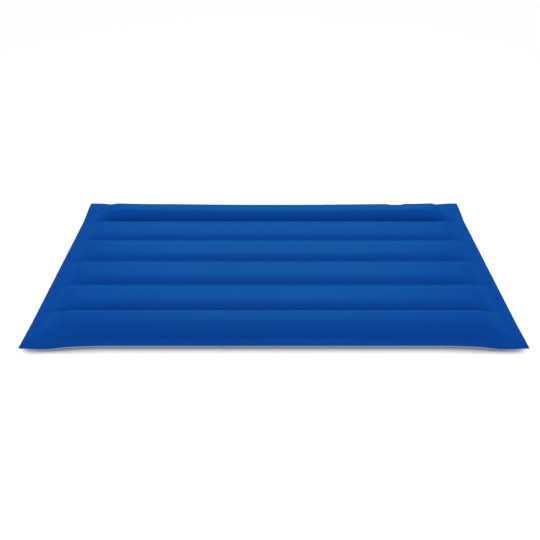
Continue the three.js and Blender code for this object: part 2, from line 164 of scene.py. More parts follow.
SPIDER = (-17.2, -13.7)
SPOKES = 3
SPOKE_WIDTH = 2
SPOKE_ROOT = 1                # how far a spoke runs into the hub
SPOKE_TIP = 0.5               # and stops short of the sleeve's outside
HUB_RADIUS = 6.2
STEM_RADIUS = 2.4
STEM_BORE = 2.8
STEM_END = -27
BUTTON = (-4.2, -2.2)
BUTTON_RADIUS = 6
BUTTON_SHOULDER = ((0, 0.6), (0.2, 0.2), (0.7, 0))  # its top edge (inward, down)
DIMPLE = ((2.6, 0), (1.4, 0.5), (0, 0.6))  # hollow in its top (radius, depth)
WING_REACH = 10.5
WING_WIDTH = 3.2
WING_HEIGHT = 1.6
SPRING = (-12.95, -4.95)
SPRING_RADIUS = 4.3
SPRING_WIRE = 0.45
SPRING_TURNS = 3
SPRING_EASE = 0.35            # how flat the end coils lie
SEAL = (-23.3, -21.3)
SEAL_RADIUS = 14.6
SEAL_BORE = 2.7
SEAL_LIP_RADIUS = 11.4        # the underside rises from here to the rim
SEAL_LIP_RISE = 1
RETAINER = (-26.0, -23.6)
RETAINER_RADIUS = 6
GASKET = (-2.6, -1.5)
GASKET_RADIUS = 21.5
NUT = (-8.4, -2.9)
NUT_RADIUS = 20.5
NUT_BORE = 16.3
NUT_LUGS = 8
LUG = 4
CAP_PLUG_RADIUS = 12.3
CAP_PLUG = (-1.2, 3.3)
CAP_BORE = 9
CAP_GROOVE = (0.6, 2.4)
CAP_GROOVE_RADIUS = 10.9
CAP_NECK_RADIUS = 10.4
CAP_DISC = (4.9, 6.9)
CAP_RADIUS = 15
CAP_ROUNDING = 0.7
CAP_NOTCHES = 24              # fine grip notches round the disc
CAP_NOTCH_RADIUS = 0.55
CAP_SCOOP_RADIUS = 12.5
CAP_SCOOP_DEPTH = 1
GRIP_WIDTH = 5
GRIP_BLOCK = 8                # height of the block that keeps the grip out of the scoop
O_RING_RADIUS = 11.95
O_RING_WIRE = 0.65
O_RING_HEIGHT = 1.5
TETHER = (3.6, 4.6)
TETHER_BORE = 10.7
TETHER_RADIUS = 14.4
STRAP_WIDTH = 7
STRAP_ROOT = 2                # the strap starts this far outside the cap's neck
STRAP_INTO_EYE = 0.6
HINGE_DOWN = 26               # the tether's hinge, down the slope
HINGE_HEIGHT = 3.5
PIN_RADIUS = 1
EYE_RADIUS = 2.3
EYE_BORE = 1.35
EYE_HALF_WIDTH = 4
BOSS_RADIUS = 1.7
HINGE_LUG_OVERLAP = 1.5       # how far a lug runs under the rim's edge
HINGE_LUG_WIDTH = 2
HINGE_LUG_OFFSET = 5.3
SLIGHT_EDGE = 0.2             # broken edges of the small pieces
THIN_EDGE = 0.25
FINE_EDGE = 0.3
SOFT_EDGE = 0.4
WIDE_EDGE = 0.5
CUT_PAST = 1                  # a cutting shape runs this far past what it cuts
ROUND = 96                    # segments in a full turn
THREAD_SEGMENTS = 72
STEM_SEGMENTS = 64
HUB_SEGMENTS = 48
EYE_SEGMENTS = 40
PIN_SEGMENTS = 32
O_RING_SEGMENTS = 18
NOTCH_SEGMENTS = 16
WIRE_SEGMENTS = 14
ROUNDING_POINTS = 6


def smooth(start, end, value):
    share = np.clip((value - start) / (end - start), 0.0, 1.0)
    return share * share * (3.0 - 2.0 * share)


# ---- Shape of the two sheets ----
def plan_point(a, b):
    """Where a point of the flat sheet lies once inflation has drawn the edges in."""
    side_share = np.clip((np.abs(b) - EDGE_START) / (WELD_B - EDGE_START), 0, 1)
    end_share = np.clip((np.abs(a) - WELD_A + EDGE_END_TAPER) / EDGE_END_TAPER, 0, 1)
    side_pull = SIDE_PULL * (1 - smooth(*SIDE_PULL_FADE, np.abs(a) / HALF_LENGTH))
    end_pull = END_PULL * (1 - smooth(*END_PULL_FADE, np.abs(b) / HALF_WIDTH))
    return a - np.sign(a) * end_pull * end_share, b - np.sign(b) * side_pull * side_share


def meeting_height(a, b):
    """Height of the plane in which the sheets meet: level inside, drooping across the flange."""
    out = np.maximum((np.abs(a) - WELD_A) / FLANGE, (np.abs(b) - WELD_B) / FLANGE)
    out = np.maximum(out, 0)
    from_dip = np.clip((np.abs(a) / HALF_LENGTH - SAG_CENTRE) / SAG_REACH, -1, 1)
    dip = np.cos(from_dip * math.pi / 2) ** 2
    on_front_edge = smooth(WELD_B, HALF_WIDTH, -b)
    at_rear_corner = smooth(*REAR_CORNER, np.abs(a) / HALF_LENGTH)
    at_rear_corner *= smooth(LAST_WEB, WELD_B, b)
    droop = EDGE_DROOP * out ** DROOP_CURVE * (1 - at_rear_corner)
    return MID_Z - droop - CORNER_SAG * dip * on_front_edge


def arch(offset, half_span, crown, fullness):
    """Cross-section of a chamber: nearly level on top, steep beside its welds."""
    return crown * (1 - np.abs(offset / half_span) ** fullness)


def rise(a, b, inner_crown, edge_crown):
    """Distance from the meeting plane to a sheet: the webs' share plus the chamber's arch."""
    inside = np.clip(WELD_A - np.abs(a), 0, None)
    across = np.abs(b)
    web_share = smooth(0, WEB_END_GAP, inside)
    arch_share = smooth(0, END_TAPER, inside)
    edge_share = smooth(0, EDGE_END_TAPER, inside)
    from_web = np.abs(across - PITCH * np.round(across / PITCH))
    inner_half = PITCH / 2 - LAND
    inner = arch(np.minimum(PITCH / 2 - from_web, inner_half), inner_half, inner_crown,
                 INNER_FULLNESS)
    edge_half = (WELD_B - EDGE_START) / 2
    edge_offset = np.clip(across - EDGE_START - edge_half, -edge_half, edge_half)
    swell = REAR_SWELL * smooth(*SWELL_FADE, np.abs(a) / HALF_LENGTH) * (b > 0)
    edge = arch(edge_offset, edge_half, edge_crown + swell, EDGE_FULLNESS)
    edge_lift = np.clip((WELD_B - across) / (WELD_B - EDGE_START), 0, 1)
    on_edge = across > EDGE_START
    lift = np.where(on_edge, GROOVE_RISE * edge_lift, GROOVE_RISE)
    return lift * web_share + np.where(on_edge, edge * edge_share, inner * arch_share)


def seam_relief(a, b):
    """Shallow pressed lines of the weld on the flange."""
    out = np.maximum(np.abs(a) - WELD_A, np.abs(b) - WELD_B)
    relief = np.zeros_like(out)
    for centre, depth in SEAM_LINES:
        relief -= depth * np.exp(-((out - centre) / SEAM_LINE_WIDTH) ** 2)
    return relief


def pucker(a, b):
    """Small gathers of spare cloth where the chambers close towards the end seams."""
    inside = WELD_A - np.abs(a)
    fade = np.exp(-np.clip(inside, 0, None) / PUCKER_REACH) * smooth(*PUCKER_START, inside)
    waves = np.zeros_like(inside)
    for width, share, phase, per_end, per_metre in PUCKER_WAVES:
        waves += share * np.sin(b / width + phase + per_end * np.sign(a) + per_metre * a)
    return PUCKER_DEPTH * fade * waves


def top_outer(a, b):
    x, y = plan_point(a, b)
    height = meeting_height(a, b) + GAP / 2 + SHEET + rise(a, b, INNER_CROWN, EDGE_CROWN)
    return np.stack([x, y, height + seam_relief(a, b) + pucker(a, b)], -1)


def bottom_outer(a, b):
    margin = 1 - (1 - MARGIN_AT_CORNER) * smooth(*MARGIN_FADE, np.abs(a) / HALF_LENGTH)
    beyond = np.clip(np.abs(b) - HALF_WIDTH, 0, None) * (1 - margin)
    shown = b - np.sign(b) * beyond
    x, y = plan_point(a, shown)
    height = meeting_height(a, shown) - GAP / 2 - SHEET - rise(a, shown, INNER_BELLY, EDGE_BELLY)
    height -= pucker(a, b)
    rounded = (np.clip(height, -FLOOR_BLEND, FLOOR_BLEND) + FLOOR_BLEND) ** 2 / (4 * FLOOR_BLEND)
    return np.stack([x, y, np.where(height > FLOOR_BLEND, height, rounded)], -1)


def into_dish(points, b):
    """Draws the rear slope in to the flat seat of the valve; also gives each point's share."""
    relative = points - np.array(SEAT)
    height = relative @ np.array(AXIS)
    radius = np.linalg.norm(relative - height[..., None] * np.array(AXIS), axis=-1)
    share = (1 - smooth(SEAT_RADIUS, DISH_RADIUS, radius)) * smooth(0, DISH_EDGE, WELD_B - b)
    share = np.where((b > LAST_WEB) & (height > -DISH_DEPTH), share, 0)
    seated = share * np.clip(height, 0, None)
    return points - seated[..., None] * np.array(AXIS), share


# ---- Grid stations over the flat sheet ----
def arch_stations(start, end, count):
    """Stations over one chamber, closer together beside its welds."""
    near = np.array(BESIDE_WELD) * MM
    middle = np.linspace(start + OPEN_FROM, end - OPEN_FROM, count)
    return [*(start + near), *middle, *(end - near)]


def across_stations(inner_count, edge_counts):
    stations = []
    for row in WEB_ROWS:
        stations += [row - LAND, row - LAND / 2, row, row + LAND / 2, row + LAND]
    for low, high in zip(WEB_ROWS[:-1], WEB_ROWS[1:]):
        stations += arch_stations(low + LAND, high - LAND, inner_count)
    for side, count in zip((-1, 1), edge_counts):
        stations += [side * s for s in arch_stations(EDGE_START, WELD_B, count)]
        stations += [side * WELD_B, *(side * (WELD_B + np.array(ON_FLANGE) * MM))]
    return np.unique(np.round(stations, 7))


def along_stations():
    inner_end = WELD_A - NEAR_END[0] * MM
    before, after = SEAT.x - VALVE_REACH, SEAT.x + VALVE_REACH
    middle = np.concatenate([
        np.arange(-inner_end, before - LONG_STEP, LONG_STEP),
        np.linspace(before, after, VALVE_STATIONS),
        np.arange(after + VALVE_GAP, inner_end, LAST_STEP),
    ])
    half = np.concatenate([WELD_A - np.array(NEAR_END) * MM, WELD_A + np.array(ON_FLANGE) * MM])
    return np.unique(np.round(np.concatenate([-half, middle, half]), 7))


def grid_shell(name, upper, lower):
    """Closed sheet between two matching grids of points."""
    columns, rows = upper.shape[:2]
    number = np.arange(columns * rows).reshape(columns, rows)
    quads = np.stack([number[:-1, :-1], number[1:, :-1], number[1:, 1:], number[:-1, 1:]], -1)
    quads = quads.reshape(-1, 4)
    rim = np.concatenate([number[:, 0], number[-1, 1:], number[-2::-1, -1], number[0, -2:0:-1]])
    after = np.roll(rim, -1)
    below = columns * rows
    sides = np.stack([rim, rim + below, after + below, after], -1)
    faces = np.concatenate([quads, quads[:, ::-1] + below, sides])
    points = np.concatenate([upper.reshape(-1, 3), lower.reshape(-1, 3)])
    return mesh_object(name, points.tolist(), faces.tolist())


# ---- Mesh helpers ----
def mesh_object(name, points, faces):
    mesh = bpy.data.meshes.new(name)
    mesh.from_pydata(points, [], faces)
    mesh.validate()
    piece = bpy.data.objects.new(name, mesh)
    bpy.context.scene.collection.objects.link(piece)
    return piece


def apply_modifiers(piece):
    bpy.context.view_layer.update()
    depsgraph = bpy.context.evaluated_depsgraph_get()
    mesh = bpy.data.meshes.new_from_object(piece.evaluated_get(depsgraph))
    piece.modifiers.clear()
    piece.data = mesh
    return piece


def boolean(piece, operation, *tools):
    for tool in tools:
        modifier = piece.modifiers.new(operation, "BOOLEAN")
        modifier.operation = operation
        modifier.solver = "EXACT"
        modifier.object = tool
    apply_modifiers(piece)
    for tool in tools:
        bpy.data.objects.remove(tool)
    return piece


def bevel(piece, width, segments=3, angle=35):
    modifier = piece.modifiers.new("edges", "BEVEL")
    modifier.width = width * MM
    modifier.segments = segments
    modifier.limit_method = "ANGLE"
    modifier.angle_limit = math.radians(angle)
    modifier.use_clamp_overlap = True
    return apply_modifiers(piece)


def shade(piece, angle=38):
    piece.data.shade_smooth()
    piece.data.set_sharp_from_angle(angle=math.radians(angle))
    return piece


def lathe(profile, segments=ROUND, name="turned"):
    """Closed piece turned about Z from [radius, height] points in millimetres."""
    points, rings = [], []
    for radius, height in profile:
        if radius <= 0:
            points.append((0, 0, height * MM))
            rings.append([len(points) - 1] * segments)
            continue
        rings.append(list(range(len(points), len(points) + segments)))
        for i in range(segments):
            turn = 2 * math.pi * i / segments
            points.append((radius * MM * math.cos(turn), radius * MM * math.sin(turn),
                           height * MM))
    closed = profile[0][0] > 0
    pairs = list(zip(rings, rings[1:])) + ([(rings[-1], rings[0])] if closed else [])
    faces = []
    for low, high in pairs:
        for i in range(segments):
            j = (i + 1) % segments
            corners = [low[i], low[j], high[j], high[i]]
            face = [c for k, c in enumerate(corners) if c != corners[k - 1]]
            if len(face) > 2:
                faces.append(face)
    return mesh_object(name, points, faces)


def ring(inner, outer, bottom, top, edge=0.15):
    """Profile of a flat ring or disc with its outer and inner edges broken."""
    e = edge
    outside = [(outer - e, bottom), (outer, bottom + e), (outer, top - e), (outer - e, top)]
    if inner <= 0:
        return [(0, bottom)] + outside + [(0, top)]
    return outside + [(inner + e, top), (inner, top - e), (inner, bottom + e), (inner + e, bottom)]


def box(width, depth, height, x, y, z):
    """Block about (x, y, z), in millimetres."""
    bm = bmesh.new()
    bmesh.ops.create_cube(bm, size=MM)
    bmesh.ops.scale(bm, vec=(width, depth, height), verts=bm.verts)
    bmesh.ops.translate(bm, vec=Vector((x, y, z)) * MM, verts=bm.verts)
    mesh = bpy.data.meshes.new("block")
    bm.to_mesh(mesh)
    bm.free()
    piece = bpy.data.objects.new("block", mesh)
    bpy.context.scene.collection.objects.link(piece)
    return piece


def turn_to_x(piece, y, z):
    """Lays a piece turned about Z along X, through (0, y, z)."""
    place = Matrix.Translation(Vector((0, y, z)) * MM) @ Matrix.Rotation(math.pi / 2, 4, "Y")
    piece.data.transform(place)
    return piece


# ---- Materials ----
GRAZING_LIMIT = 0.15          # most of the light a coated fabric reflects at a low angle
THREAD_WAVE = 0.314           # wave texture scale times repeat length
FABRIC_MOTTLE = 5.0           # noise scales, per metre
MOULDED_MOTTLE = 90.0
MOULDED_GRAIN = 1800.0
MOTTLE_RANGE = (0.3, 0.7)     # noise values between the lightest and darkest tone
MOULDED_SPREAD = 0.06         # how far the colour drifts
ROUGHNESS_SPREAD = 0.08
WEAVE_STRENGTH = 0.5
GRAIN_STRENGTH = 0.4
BLUE = (0.0004, 0.026, 0.276)
PALE = (0.27, 0.3, 0.39)
OFF_WHITE = (0.68, 0.68, 0.65)
BLACK_PLASTIC = (0.028, 0.032, 0.038)
GREY_PLASTIC = (0.5, 0.53, 0.56)
BLACK_RUBBER = (0.011, 0.011, 0.012)
STEEL = (0.56, 0.57, 0.58)
WHITE = (1, 1, 1, 1)
BLUE_SHEEN = (0.12, 1, 1, 1)


def new_material(name):
    material = bpy.data.materials.new(name)
    material.use_nodes = True
    tree = material.node_tree
    return material, tree, tree.nodes["Principled BSDF"]


def add_node(tree, kind, **values):
    node = tree.nodes.new(kind)
    for key, value in values.items():
        if key in node.inputs:
            node.inputs[key].default_value = value
        else:
            setattr(node, key, value)
    return node


def mottled(tree, bsdf, coordinates, color, spread, scale):
    """Base colour that drifts a little over the piece."""
    noise = add_node(tree, "ShaderNodeTexNoise", Scale=scale, Detail=3.0)
    tree.links.new(coordinates, noise.inputs["Vector"])
    ramp = add_node(tree, "ShaderNodeValToRGB")
    low, high = ramp.color_ramp.elements
    low.position, high.position = MOTTLE_RANGE
    low.color = [c * (1 - spread) for c in color] + [1]
    high.color = [min(1, c * (1 + spread)) for c in color] + [1]
    tree.links.new(noise.outputs["Fac"], ramp.inputs["Fac"])
    tree.links.new(ramp.outputs["Color"], bsdf.inputs["Base Color"])


def bumped(tree, bsdf, height, distance, strength):
    bump = add_node(tree, "ShaderNodeBump", Distance=distance, Strength=strength)
    tree.links.new(height, bump.inputs["Height"])
    tree.links.new(bump.outputs["Normal"], bsdf.inputs["Normal"])
    return bump


def coated_fabric(name, color, roughness, index, tint, pitch, depth, spread=0.03):
    """Woven scrim showing softly through a plastic coating that shines a little."""
    material, tree, bsdf = new_material(name)
    bsdf.inputs["Roughness"].default_value = roughness
    bsdf.inputs["Specular IOR Level"].default_value = 0
    coordinates = add_node(tree, "ShaderNodeTexCoord").outputs["Object"]
    mottled(tree, bsdf, coordinates, color, spread, FABRIC_MOTTLE)
    heights = []
    for direction in ("X", "Y"):
        wave = add_node(tree, "ShaderNodeTexWave", bands_direction=direction,
                        Scale=THREAD_WAVE / pitch, Distortion=0.4, Detail=1.0)
        tree.links.new(coordinates, wave.inputs["Vector"])
        heights.append(wave.outputs["Fac"])
    weave = add_node(tree, "ShaderNodeMath", operation="ADD")
    for height, socket in zip(heights, weave.inputs):
        tree.links.new(height, socket)
    bump = bumped(tree, bsdf, weave.outputs["Value"], depth, WEAVE_STRENGTH)
    gloss = add_node(tree, "ShaderNodeBsdfGlossy", Color=tint, Roughness=roughness)
    tree.links.new(bump.outputs["Normal"], gloss.inputs["Normal"])
    fresnel = add_node(tree, "ShaderNodeFresnel", IOR=index)
    share = add_node(tree, "ShaderNodeMath", operation="MINIMUM")
    share.inputs[1].default_value = GRAZING_LIMIT
    mix = add_node(tree, "ShaderNodeMixShader")
    tree.links.new(fresnel.outputs["Fac"], share.inputs[0])
    tree.links.new(share.outputs["Value"], mix.inputs["Fac"])
    tree.links.new(bsdf.outputs["BSDF"], mix.inputs[1])
    tree.links.new(gloss.outputs["BSDF"], mix.inputs[2])
    tree.links.new(mix.outputs["Shader"], tree.nodes["Material Output"].inputs["Surface"])
    return material


def moulded(name, color, roughness, grain, metallic=0.0, specular=0.5):
    """Moulded or drawn piece with a fine surface grain."""
    material, tree, bsdf = new_material(name)
    bsdf.inputs["Metallic"].default_value = metallic
    bsdf.inputs["Specular IOR Level"].default_value = specular
    coordinates = add_node(tree, "ShaderNodeTexCoord").outputs["Object"]
    mottled(tree, bsdf, coordinates, color, MOULDED_SPREAD, MOULDED_MOTTLE)
    speckle = add_node(tree, "ShaderNodeTexNoise", Scale=MOULDED_GRAIN, Detail=2.0)
    tree.links.new(coordinates, speckle.inputs["Vector"])
    spread = add_node(tree, "ShaderNodeMapRange")
    spread.inputs["To Min"].default_value = roughness - ROUGHNESS_SPREAD
    spread.inputs["To Max"].default_value = roughness + ROUGHNESS_SPREAD
    tree.links.new(speckle.outputs["Fac"], spread.inputs["Value"])
    tree.links.new(spread.outputs["Result"], bsdf.inputs["Roughness"])
    bumped(tree, bsdf, speckle.outputs["Fac"], grain, GRAIN_STRENGTH)
    return material


# Fabrics: colour, roughness, index of refraction, sheen, thread pitch, weave depth.
# Moulded pieces: colour, roughness, grain depth.
MATERIALS = {
    "blue_sheet": coated_fabric("blue_pvc_fabric", BLUE, 0.45, 1.56, BLUE_SHEEN,
                                1.4 * MM, 0.05 * MM),
    "pale_sheet": coated_fabric("pale_pvc_fabric", PALE, 0.6, 1.45, WHITE, 1.4 * MM, 0.06 * MM),
    "web_fabric": coated_fabric("web_fabric", OFF_WHITE, 0.8, 1.4, WHITE, 0.8 * MM, 0.12 * MM,
                                spread=0.06),
    "valve_plastic": moulded("valve_plastic", BLACK_PLASTIC, 0.42, 0.02 * MM),
    "plunger_plastic": moulded("plunger_plastic", GREY_PLASTIC, 0.38, 0.02 * MM),
    "rubber": moulded("rubber", BLACK_RUBBER, 0.68, 0.03 * MM, specular=0.3),
    "spring_steel": moulded("spring_steel", STEEL, 0.28, 0.01 * MM, metallic=1.0),
}


def dress(piece, slot):
    piece.data.materials.clear()
    piece.data.materials.append(MATERIALS[slot])
    return piece


def stand_in(piece, name, node, body, slot):
    """Finishes a piece that stands for one CAD node."""
    piece.name = name
    dress(piece, slot)
    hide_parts(node)
    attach(piece, body)
    return piece


# ---- Sheets ----
def top_sheet():
    a, b = np.meshgrid(along_stations(), across_stations(*TOP_COUNTS), indexing="ij")
    outer, share = into_dish(top_outer(a, b), b)
    inward = (1 - share)[..., None] * np.array([0, 0, 1]) + share[..., None] * np.array(AXIS)
    inner = outer - SHEET * inward
    sheet = grid_shell("top", outer, inner)
    hole = lathe(ring(0, HOLE_RADIUS, *HOLE_CUT, HOLE_EDGE))
    hole.data.transform(VALVE)
    boolean(sheet, "DIFFERENCE", hole)
    return shade(sheet, SHEET_CREASE)


def bottom_sheet():
    across = across_stations(*BOTTOM_COUNTS)
    beyond = HALF_WIDTH + PALE_MARGIN * np.array([0.5, 1])
    across = np.concatenate([-beyond[::-1], across, beyond])
    along = along_stations()
    along = along[np.abs(along - SEAT.x) > UNDER_VALVE]
    a, b = np.meshgrid(along, across, indexing="ij")
    outer = bottom_outer(a, b)
    return shade(grid_shell("bottom", outer + np.array([0, 0, SHEET]), outer), SHEET_CREASE)


# ---- Webs ----
def web(row):
    """I-section fabric strip: two weld tabs and an upright that wanders a little between them."""
    half_height = GROOVE_RISE - GAP / 2
    tab_low = half_height - WEB_TAB
    side = [(WEB_TAB_HALF - WEB_CORNER, -half_height), (WEB_TAB_HALF, -half_height + WEB_CORNER),
            (WEB_TAB_HALF, -tab_low - WEB_CORNER), (WEB_TAB_HALF - WEB_CORNER, -tab_low)]
    side += [(WEB_STRIP_HALF, z) for z in np.linspace(-tab_low, tab_low, UPRIGHT_POINTS)]
    side += [(y, -z) for y, z in side[3::-1]]
    section = np.array(side + [(-y, z) for y, z in side[::-1]])
    slack = np.cos(np.clip(section[:, 1] / tab_low, -1, 1) * math.pi / 2) ** 2
    stations = np.linspace(-WEB_HALF_LENGTH, WEB_HALF_LENGTH, WEB_STATIONS)
    ripple = np.zeros_like(stations)
    for sway, length, phase in WEB_RIPPLES:
        ripple += sway * np.sin(stations / length + row * phase)
    points = np.empty((len(stations), len(section), 3))
    points[..., 0] = stations[:, None]
    points[..., 1] = row + section[:, 0] + slack * ripple[:, None]
    points[..., 2] = MID_Z + section[:, 1]
    return tube("web", points)


def tube(name, points):
    """Closed tube through successive outlines, with both ends capped."""
    count, around = points.shape[:2]
    number = np.arange(count * around).reshape(count, around)
    after = np.roll(number, -1, axis=1)
    sides = np.stack([number[:-1], after[:-1], after[1:], number[1:]], -1).reshape(-1, 4)
    faces = sides.tolist() + [number[0, ::-1].tolist(), number[-1].tolist()]
    piece = mesh_object(name, points.reshape(-1, 3).tolist(), faces)
    bm = bmesh.new()
    bm.from_mesh(piece.data)
    bmesh.ops.recalc_face_normals(bm, faces=bm.faces)
    bm.to_mesh(piece.data)
    bm.free()
    return piece


# ---- Valve: modelled about its own axis, x across the slope and y down it ----
def spiral(radius, low, high, turns, outline, per_turn, closed_ends=0.0):
    """Outline of (radial, axial) offsets swept up a helix; the end coils can lie flat."""
    count = int(turns * per_turn) + 1
    travel = np.linspace(0, turns, count)
    rise_share = smooth(0, 1, travel / turns) * closed_ends + travel / turns * (1 - closed_ends)
    height = low + (high - low) * rise_share
    angle = 2 * math.pi * travel
    radial, axial = np.array(outline).T
    reach = radius + radial
    points = np.stack([np.cos(angle)[:, None] * reach, np.sin(angle)[:, None] * reach,
                       height[:, None] + axial[None, :].repeat(count, 0)], -1)
    return tube("spiral", points * MM)


def rounded_edge(radius, top, size):
    """Outline of a turned piece's rounded upper edge, from its side to its top."""
    return [(radius - size * (1 - math.cos(t)), top - size * (1 - math.sin(t)))
            for t in np.linspace(0, math.pi / 2, ROUNDING_POINTS)]


def circle(radius, segments):
    turns = np.linspace(0, 2 * math.pi, segments, endpoint=False)
    return [(radius * math.cos(t), radius * math.sin(t)) for t in turns]


def at_hinge(profile, segments):
    """Piece turned about the tether's hinge axis."""
    return turn_to_x(lathe(profile, segments), HINGE_DOWN, HINGE_HEIGHT)


def valve_patch():
    return lathe(ring(HOLE_RADIUS, PATCH_RADIUS, *PATCH, THIN_EDGE))


def body_shell():
    low, high = RIM
    inner, outer = RIM_GROOVE
    return lathe([
        (RECESS_RADIUS, SLEEVE_END + FINE_EDGE), (RECESS_RADIUS + FINE_EDGE, SLEEVE_END),
        (SLEEVE_RADIUS - SOFT_EDGE, SLEEVE_END), (SLEEVE_RADIUS, SLEEVE_END + SOFT_EDGE),
        (SLEEVE_RADIUS, low), (RIM_RADIUS - SLIGHT_EDGE, low), (RIM_RADIUS, low + SLIGHT_EDGE),
        *rounded_edge(RIM_RADIUS, high, RIM_ROUNDING),
        (outer, high), (outer - FINE_EDGE, high - FINE_EDGE),
        (inner + FINE_EDGE, high - FINE_EDGE), (inner, high),
        (RECESS_RADIUS + WIDE_EDGE, high), (RECESS_RADIUS, high - WIDE_EDGE)])


def body_spokes():
    low, high = SPIDER
    inner, outer = HUB_RADIUS - SPOKE_ROOT, SLEEVE_RADIUS - SPOKE_TIP
    spokes = []
    for i in range(SPOKES):
        spoke = box(outer - inner, SPOKE_WIDTH, high - low, (inner + outer) / 2, 0,
                    (low + high) / 2)
        spoke.data.transform(Matrix.Rotation(2 * math.pi * i / SPOKES, 4, "Z"))
        spokes.append(bevel(spoke, FINE_EDGE))
    return spokes


def hinge_lugs():
    low, high = RIM
    reach = HINGE_DOWN - RIM_RADIUS + HINGE_LUG_OVERLAP
    half = HINGE_LUG_WIDTH / 2
    pieces = []
    for side in (-1, 1):
        x = side * HINGE_LUG_OFFSET
        pieces.append(box(HINGE_LUG_WIDTH, reach, high - low, x, HINGE_DOWN - reach / 2,
                          (low + high) / 2))
        pieces.append(at_hinge(ring(0, BOSS_RADIUS, x - half, x + half, SLIGHT_EDGE),
                               PIN_SEGMENTS))
    return pieces


def valve_body():
    thread_low, thread_high = THREAD
    thread = spiral(SLEEVE_RADIUS, thread_low, thread_high,
                    (thread_high - thread_low) / THREAD_PITCH, THREAD_OUTLINE, THREAD_SEGMENTS)
    hub = lathe(ring(0, HUB_RADIUS, *SPIDER, FINE_EDGE), HUB_SEGMENTS)
    pin = at_hinge(ring(0, PIN_RADIUS, -HINGE_LUG_OFFSET, HINGE_LUG_OFFSET), PIN_SEGMENTS)
    body = boolean(body_shell(), "UNION", thread, hub, *body_spokes(), *hinge_lugs(), pin)
    bore = lathe(ring(0, STEM_BORE, SPIDER[0] - CUT_PAST, SPIDER[1] + CUT_PAST), HUB_SEGMENTS)
    return boolean(body, "DIFFERENCE", bore)


def valve_gasket():
    return lathe(ring(HOLE_RADIUS, GASKET_RADIUS, *GASKET, FINE_EDGE))


def valve_nut():
    low, high = NUT
    lugs = []
    for i in range(NUT_LUGS):
        lug = bevel(box(LUG, LUG, high - low, NUT_RADIUS, 0, (low + high) / 2), WIDE_EDGE)
        lug.data.transform(Matrix.Rotation(2 * math.pi * i / NUT_LUGS, 4, "Z"))
        lugs.append(lug)
    return boolean(lathe(ring(NUT_BORE, NUT_RADIUS, low, high, WIDE_EDGE)), "UNION", *lugs)


def valve_stem():
    low, high = BUTTON
    profile = [(0, STEM_END), (STEM_RADIUS - WIDE_EDGE, STEM_END),
               (STEM_RADIUS, STEM_END + WIDE_EDGE), (STEM_RADIUS, low),
               (BUTTON_RADIUS - FINE_EDGE, low), (BUTTON_RADIUS, low + FINE_EDGE),
               *((BUTTON_RADIUS - inward, high - down) for inward, down in BUTTON_SHOULDER),
               *((radius, high - depth) for radius, depth in DIMPLE)]
    wings = box(2 * WING_REACH, WING_WIDTH, WING_HEIGHT, 0, 0, low + WING_HEIGHT / 2)
    return boolean(lathe(profile, STEM_SEGMENTS), "UNION", bevel(wings, SOFT_EDGE))


def valve_spring():
    return spiral(SPRING_RADIUS, *SPRING, SPRING_TURNS, circle(SPRING_WIRE, WIRE_SEGMENTS),
                  EYE_SEGMENTS, SPRING_EASE)


def valve_seal():
    low, high = SEAL
    return lathe([(SEAL_BORE, low + SLIGHT_EDGE), (SEAL_BORE + SLIGHT_EDGE, low),
                  (SEAL_LIP_RADIUS, low), (SEAL_RADIUS - SOFT_EDGE, low + SEAL_LIP_RISE / 2),
                  (SEAL_RADIUS, low + SEAL_LIP_RISE), (SEAL_RADIUS, high - SOFT_EDGE),
                  (SEAL_RADIUS - SOFT_EDGE, high), (SEAL_BORE + SLIGHT_EDGE, high),
                  (SEAL_BORE, high - SLIGHT_EDGE)])


def seal_retainer():
    return lathe(ring(SEAL_BORE, RETAINER_RADIUS, *RETAINER, WIDE_EDGE), STEM_SEGMENTS)


def cap_notches():
    bottom, top = CAP_DISC[0] - CUT_PAST, CAP_DISC[1] + CUT_PAST
    notches = []
    for i in range(CAP_NOTCHES):
        turn = 2 * math.pi * i / CAP_NOTCHES
        notch = lathe([(0, bottom), (CAP_NOTCH_RADIUS, bottom), (CAP_NOTCH_RADIUS, top),
                       (0, top)], NOTCH_SEGMENTS)
        notch.data.transform(Matrix.Translation(Vector((
            CAP_RADIUS * math.cos(turn), CAP_RADIUS * math.sin(turn), 0)) * MM))
        notches.append(notch)
    return notches


def valve_cap():
    low, high = CAP_DISC
    bottom, plug_top = CAP_PLUG
    groove_low, groove_high = CAP_GROOVE
    profile = [(0, groove_high), (CAP_BORE, groove_high), (CAP_BORE, bottom + FINE_EDGE),
               (CAP_BORE + FINE_EDGE, bottom), (CAP_PLUG_RADIUS - WIDE_EDGE, bottom),
               (CAP_PLUG_RADIUS, bottom + WIDE_EDGE), (CAP_PLUG_RADIUS, groove_low),
               (CAP_GROOVE_RADIUS, groove_low), (CAP_GROOVE_RADIUS, groove_high),
               (CAP_PLUG_RADIUS, groove_high), (CAP_PLUG_RADIUS, plug_top),
               (CAP_NECK_RADIUS, plug_top), (CAP_NECK_RADIUS, low),
               (CAP_RADIUS - FINE_EDGE, low), (CAP_RADIUS, low + FINE_EDGE),
               *rounded_edge(CAP_RADIUS, high, CAP_ROUNDING), (0, high)]
    scoop = lathe(ring(0, CAP_SCOOP_RADIUS, high - CAP_SCOOP_DEPTH, high + 2 * CUT_PAST,
                       FINE_EDGE))
    grip = box(3 * CAP_RADIUS, GRIP_WIDTH, GRIP_BLOCK, 0, 0, high)
    scoop = boolean(scoop, "DIFFERENCE", grip)
    return boolean(lathe(profile), "DIFFERENCE", scoop, *cap_notches())


def cap_o_ring():
    return lathe([(O_RING_RADIUS + radial, O_RING_HEIGHT + axial)
                  for radial, axial in circle(O_RING_WIRE, O_RING_SEGMENTS)])


